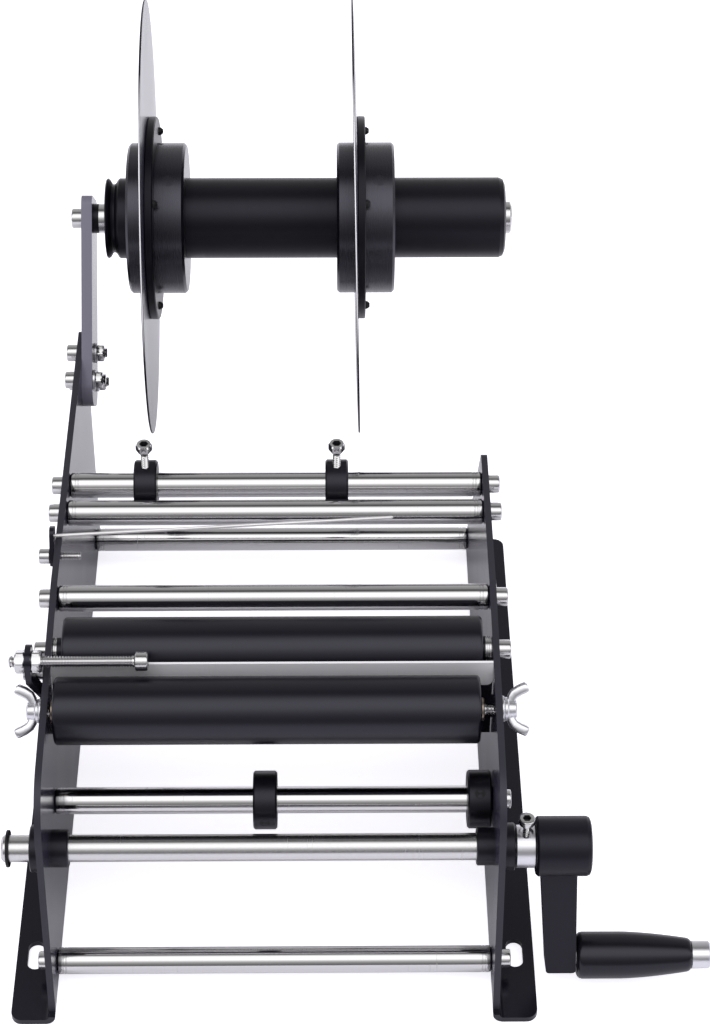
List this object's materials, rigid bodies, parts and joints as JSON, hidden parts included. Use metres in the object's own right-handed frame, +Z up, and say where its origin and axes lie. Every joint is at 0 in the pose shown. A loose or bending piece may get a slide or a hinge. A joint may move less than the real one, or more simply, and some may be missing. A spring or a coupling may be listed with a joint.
{
  "type": "bottle labelling machine",
  "caption": "Bench-top hand machine with two side plates, steel rods, web rollers, a peel plate, a side crank and a flanged label spool on a rear arm, for wrapping labels onto bottles.",
  "frame": {"origin": "on the table under the middle of the whole machine's box", "axes": "+X runs across the machine towards the crank, +Y from the bottle side to the label spool, +Z up"},
  "size_m": [0.3148, 0.469, 0.287],
  "materials": {
    "black_gloss": "gloss black enamel",
    "stainless": "polished stainless steel",
    "zinc": "bright zinc plated steel",
    "black_rubber": "satin black rubber",
    "black_anodised": "black anodised aluminium",
    "black_plastic": "black acetal",
    "crank_black": "satin black enamel on a casting",
    "steel": "turned steel",
    "bronze_steel": "tempered spring steel"
  },
  "bodies": {
    "frame": {"left_side_plate": "black_gloss", "right_side_plate": "black_gloss", "guide_rod": "stainless", "turn_rod": "stainless", "feed_rod": "stainless", "waste_rod": "stainless", "tie_rods": "stainless", "frame_cap_screws": "zinc", "frame_washers": "bronze_steel", "frame_nuts": "zinc", "peel_plate": "stainless", "upper_roller_spacers": "black_plastic", "upper_roller_axle": "steel", "shaft_bushings": "black_plastic", "pointer_screw": "zinc", "stop_bracket": "black_gloss", "bracket_spacer": "zinc", "bracket_screw": "zinc", "spool_arm": "black_gloss", "spool_shaft": "steel", "spool_spacer": "zinc", "spool_shaft_screw": "zinc", "spool_end_nut": "zinc"},
    "upper_roller": {"upper_roller_cover": "black_rubber", "upper_roller_core": "steel", "upper_roller_bushes": "black_plastic"},
    "lower_carriage": {"lower_roller_axle": "steel", "lower_roller_spacers": "black_plastic", "wing_nut_washers": "zinc"},
    "lower_roller": {"lower_roller_cover": "black_rubber", "lower_roller_core": "steel", "lower_roller_bushes": "black_plastic"},
    "left_wing_nut": {"left_wing_nut": "zinc"},
    "right_wing_nut": {"right_wing_nut": "zinc"},
    "crank": {"crank_shaft": "stainless", "shaft_retaining_ring": "steel", "shaft_collar": "zinc", "crank_arm": "crank_black", "grip_spindle": "zinc"},
    "crank_grip": {"crank_grip": "black_plastic"},
    "left_guide_collar": {"left_guide_collar": "black_plastic"},
    "right_guide_collar": {"right_guide_collar": "black_plastic"},
    "left_guide_thumb_screw": {"left_guide_thumb_screw": "zinc"},
    "right_guide_thumb_screw": {"right_guide_thumb_screw": "zinc"},
    "left_waste_collar": {"left_waste_collar": "black_plastic"},
    "right_waste_collar": {"right_waste_collar": "black_plastic"},
    "pointer": {"pointer_lever": "black_gloss", "pointer_wire": "zinc"},
    "edge_stop": {"edge_stop_screw": "zinc"},
    "spool": {"spool_tube": "black_anodised", "spool_bushes": "black_plastic", "brake_pulley": "black_anodised", "fixed_flange_hub": "black_anodised", "fixed_flange_disc": "black_gloss", "fixed_flange_ring": "black_anodised", "fixed_flange_ring_screws": "zinc"},
    "sliding_flange": {"sliding_flange_hub": "black_anodised", "sliding_flange_disc": "black_gloss", "sliding_flange_ring": "black_anodised", "sliding_flange_ring_screws": "zinc"}
  },
  "joints": [
    {"name": "crank_turn", "type": "hinge", "parent": "frame", "child": "crank", "pos_m": [-0.03847, -0.1935, 0.072], "axis": [1, 0, 0], "continuous": true},
    {"name": "crank_grip_turn", "type": "hinge", "parent": "crank", "child": "crank_grip", "pos_m": [0.12153, -0.21013, 0.01623], "axis": [1, 0, 0], "continuous": true},
    {"name": "upper_roller_turn", "type": "hinge", "parent": "frame", "child": "upper_roller", "pos_m": [-0.03847, -0.1235, 0.1243], "axis": [1, 0, 0], "continuous": true},
    {"name": "lower_roller_adjust", "type": "slide", "parent": "frame", "child": "lower_carriage", "axis": [0, 1, 0], "range_m": [-0.006, 0]},
    {"name": "lower_roller_turn", "type": "hinge", "parent": "lower_carriage", "child": "lower_roller", "pos_m": [-0.03847, -0.156, 0.12], "axis": [1, 0, 0], "continuous": true},
    {"name": "left_wing_nut_turn", "type": "hinge", "parent": "lower_carriage", "child": "left_wing_nut", "pos_m": [-0.14347, -0.156, 0.12], "axis": [1, 0, 0], "continuous": true},
    {"name": "right_wing_nut_turn", "type": "hinge", "parent": "lower_carriage", "child": "right_wing_nut", "pos_m": [0.06653, -0.156, 0.12], "axis": [1, 0, 0], "continuous": true},
    {"name": "left_guide_collar_slide", "type": "slide", "parent": "frame", "child": "left_guide_collar", "axis": [1, 0, 0], "range_m": [-0.029, 0.036]},
    {"name": "right_guide_collar_slide", "type": "slide", "parent": "frame", "child": "right_guide_collar", "axis": [1, 0, 0], "range_m": [-0.036, 0.062]},
    {"name": "left_guide_thumb_turn", "type": "hinge", "parent": "left_guide_collar", "child": "left_guide_thumb_screw", "pos_m": [-0.09997, -0.0172, 0.145], "axis": [0, 0, 1], "continuous": true},
    {"name": "right_guide_thumb_turn", "type": "hinge", "parent": "right_guide_collar", "child": "right_guide_thumb_screw", "pos_m": [-0.00967, -0.0172, 0.145], "axis": [0, 0, 1], "continuous": true},
    {"name": "left_waste_collar_slide", "type": "slide", "parent": "frame", "child": "left_waste_collar", "axis": [1, 0, 0], "range_m": [-0.088, 0.04]},
    {"name": "right_waste_collar_slide", "type": "slide", "parent": "frame", "child": "right_waste_collar", "axis": [1, 0, 0], "range_m": [-0.04, 0]},
    {"name": "pointer_swing", "type": "hinge", "parent": "frame", "child": "pointer", "pos_m": [-0.13847, -0.0685, 0.1304], "axis": [1, 0, 0], "range_deg": [-12, 60]},
    {"name": "edge_stop_slide", "type": "slide", "parent": "frame", "child": "edge_stop", "axis": [1, 0, 0], "range_m": [-0.035, 0.002]},
    {"name": "spool_turn", "type": "hinge", "parent": "frame", "child": "spool", "pos_m": [-0.03847, 0.1265, 0.179], "axis": [1, 0, 0], "continuous": true},
    {"name": "sliding_flange_slide", "type": "slide", "parent": "spool", "child": "sliding_flange", "axis": [1, 0, 0], "range_m": [-0.0742, 0.052]}
  ]
}
